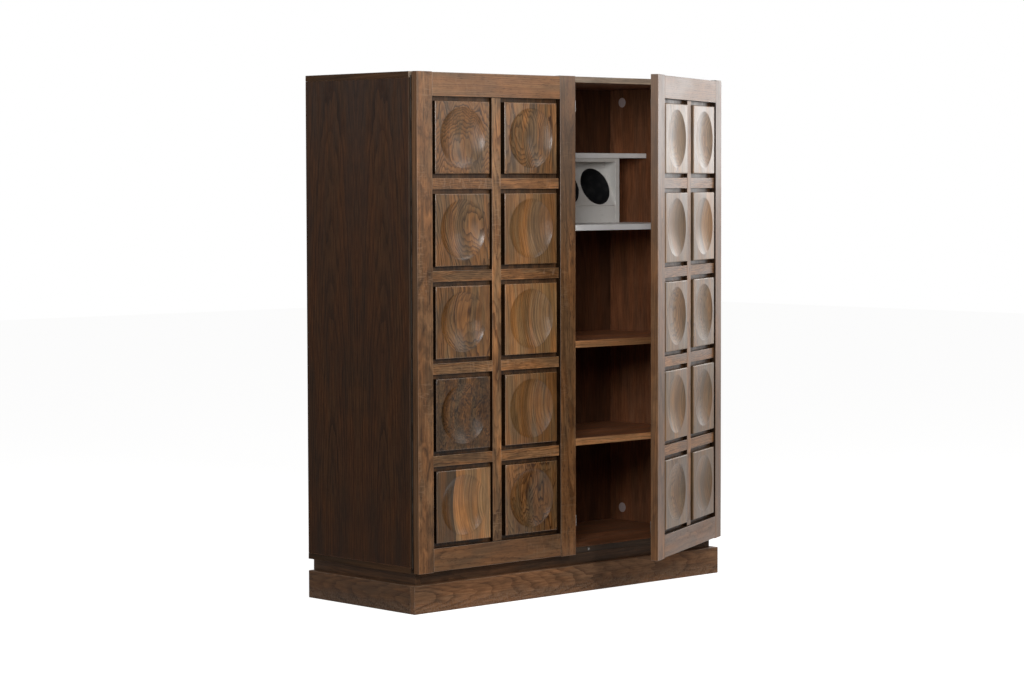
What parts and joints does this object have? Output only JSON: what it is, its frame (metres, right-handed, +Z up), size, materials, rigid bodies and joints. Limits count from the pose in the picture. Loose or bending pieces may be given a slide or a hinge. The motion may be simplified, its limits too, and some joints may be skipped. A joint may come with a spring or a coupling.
{
  "type": "bar cabinet",
  "caption": "Tall oak cabinet on a recessed plinth, with two hinged doors of dished square blocks, a white bottle rack with black sleeves inside, and full width shelves below it.",
  "frame": {"origin": "on the floor, under the middle of the case: half way across its width and half way through the depth of the case without the doors", "axes": "+X to the right as seen from the front, +Y from the front to the back, +Z up; the doors are at the -Y side"},
  "size_m": [1.1494, 0.688, 1.4],
  "materials": {
    "oak": "stained solid oak, satin lacquer",
    "carved_oak": "stained solid oak with turned dishes, satin lacquer",
    "oak_veneer": "dark stained oak veneer, satin",
    "plinth_oak": "dark stained oak, satin, worn at the foot",
    "inside_veneer": "red brown veneer, satin",
    "shelf_veneer": "red brown veneer, satin",
    "white_laminate": "white laminated board, satin",
    "black_sleeve": "black tube, matt",
    "hinge_steel": "plated steel",
    "pale_plastic": "pale grey plastic"
  },
  "bodies": {
    "carcass": {"top_panel": "oak_veneer", "bottom_panel": "oak_veneer", "left_side_panel": "oak_veneer", "right_side_panel": "oak_veneer", "back_panel": "inside_veneer", "base_left_rail": "plinth_oak", "base_right_rail": "plinth_oak", "base_front_rail": "plinth_oak", "base_back_rail": "plinth_oak", "base_cross_rail": "plinth_oak", "plinth_left_board": "plinth_oak", "plinth_right_board": "plinth_oak", "plinth_front_board": "plinth_oak", "bar_upper_board": "white_laminate", "bar_lower_board": "white_laminate", "rack_left_cheek": "white_laminate", "rack_right_cheek": "white_laminate", "rack_header": "white_laminate", "rack_fascia": "white_laminate", "rack_panel": "white_laminate", "bottle_sleeve_1": "black_sleeve", "bottle_sleeve_2": "black_sleeve", "bottle_sleeve_3": "black_sleeve", "bottle_sleeve_4": "black_sleeve", "bottle_sleeve_5": "black_sleeve", "bottle_sleeve_6": "black_sleeve", "bottle_sleeve_7": "black_sleeve", "lower_shelf": "shelf_veneer", "upper_shelf": "shelf_veneer", "cover_cap_left_upper": "pale_plastic", "cover_cap_left_lower": "pale_plastic", "cover_cap_right_upper": "pale_plastic", "cover_cap_right_lower": "pale_plastic", "edge_magnet_left": "hinge_steel", "edge_magnet_right": "hinge_steel", "left_hinge_carcass_leaf": "hinge_steel", "left_hinge_pin": "hinge_steel", "right_hinge_carcass_leaf": "hinge_steel", "right_hinge_pin": "hinge_steel"},
    "left_door": {"left_door_outer_stile": "oak", "left_door_meeting_stile": "oak", "left_door_top_rail": "oak", "left_door_bottom_rail": "oak", "left_door_lattice": "oak", "left_door_tile_panel": "carved_oak", "left_door_magnet_keeper": "hinge_steel", "left_hinge_door_leaf": "hinge_steel", "meeting_catch_upper": "pale_plastic", "meeting_catch_lower": "pale_plastic"},
    "right_door": {"right_door_outer_stile": "oak", "right_door_meeting_stile": "oak", "right_door_top_rail": "oak", "right_door_bottom_rail": "oak", "right_door_lattice": "oak", "right_door_tile_panel": "carved_oak", "right_door_magnet_keeper": "hinge_steel", "right_hinge_door_leaf": "hinge_steel", "right_door_upper_keeper": "hinge_steel", "right_door_lower_keeper": "hinge_steel"}
  },
  "joints": [
    {"name": "left_door_hinge", "type": "hinge", "parent": "carcass", "child": "left_door", "pos_m": [-0.567, -0.212, 0.7525], "axis": [0, 0, -1], "range_deg": [0, 110]},
    {"name": "right_door_hinge", "type": "hinge", "parent": "carcass", "child": "right_door", "pos_m": [0.567, -0.212, 0.7525], "axis": [0, 0, 1], "range_deg": [-25.7, 84.3]}
  ]
}
